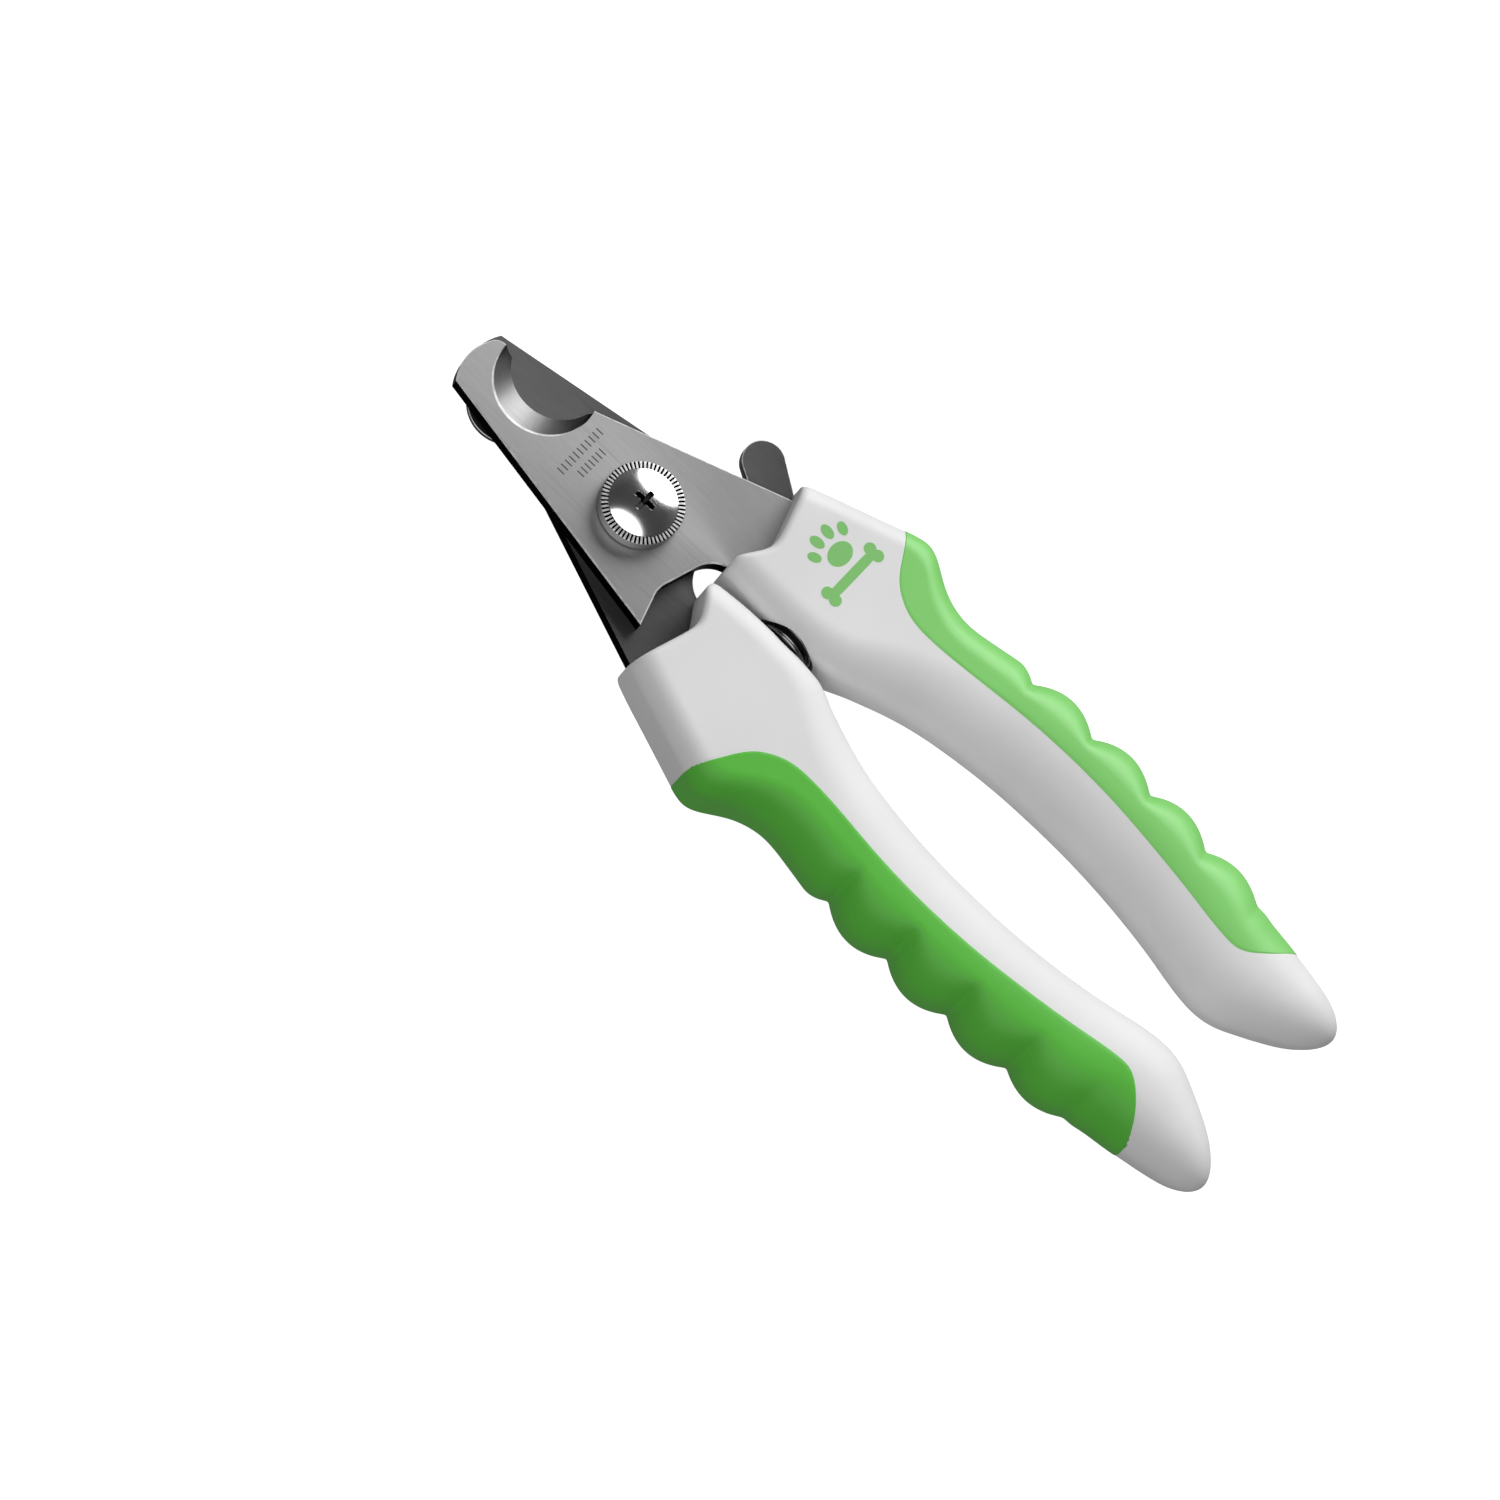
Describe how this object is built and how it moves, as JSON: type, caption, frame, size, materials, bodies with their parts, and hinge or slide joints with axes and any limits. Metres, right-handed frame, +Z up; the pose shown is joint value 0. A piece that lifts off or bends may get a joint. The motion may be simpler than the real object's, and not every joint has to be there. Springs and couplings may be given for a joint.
{
  "type": "scissor nail clipper",
  "caption": "Plier-style pet nail clipper: two notched blades on one screw, scalloped soft-grip handles, return spring, thumb lock and swing-out nail guard.",
  "frame": {"origin": "where the pivot axis meets the plane that the closed clipper lies on, in the middle of the screw's flush end", "axes": "+X towards the handle ends, +Y towards the front blade's handle, +Z up out of the screw's domed head"},
  "size_m": [0.1657, 0.055, 0.0152],
  "materials": {
    "blade_steel": "fine brushed grain along the blade",
    "lever_steel": "dark brushed",
    "guard_steel": "dark brushed sheet",
    "pin_steel": "ground",
    "washer_steel": "spring temper",
    "nut_steel": "bright plated",
    "screw_chrome": "mirror polished",
    "spring_steel": "black oxide, oiled",
    "white_plastic": "satin moulded",
    "seat_plastic": "matte acetal",
    "green_grip": "soft matte overmould"
  },
  "bodies": {
    "rear_half": {"rear_blade": "blade_steel", "rear_handle_core": "white_plastic", "rear_grip": "green_grip", "rear_tang_pins": "pin_steel", "rear_spring_seat": "seat_plastic", "return_spring": "spring_steel", "pivot_screw": "screw_chrome", "pivot_sleeve": "pin_steel", "head_washer": "washer_steel", "guard_washer": "seat_plastic", "spring_washer": "washer_steel", "pivot_nut": "nut_steel"},
    "front_half": {"front_blade": "blade_steel", "front_handle_core": "white_plastic", "front_grip": "green_grip", "front_tang_pins": "pin_steel", "front_spring_seat": "seat_plastic", "lock_rivet": "pin_steel", "lock_washer": "washer_steel"},
    "lock_lever": {"lock_lever": "lever_steel"},
    "safety_guard": {"safety_guard": "guard_steel"}
  },
  "joints": [
    {"name": "handles_pivot", "type": "hinge", "parent": "rear_half", "child": "front_half", "pos_m": [0, 0, 0.0065], "axis": [0, 0, 1], "range_deg": [0, 24], "deforming": ["return_spring"]},
    {"name": "lock_pivot", "type": "hinge", "parent": "front_half", "child": "lock_lever", "pos_m": [0.0236, 0.0106, 0.0052], "axis": [0, 0, 1], "range_deg": [0, 14]},
    {"name": "guard_swing", "type": "hinge", "parent": "rear_half", "child": "safety_guard", "pos_m": [0, 0, 0.0027], "axis": [0, 0, 1], "range_deg": [-80, 80]}
  ]
}
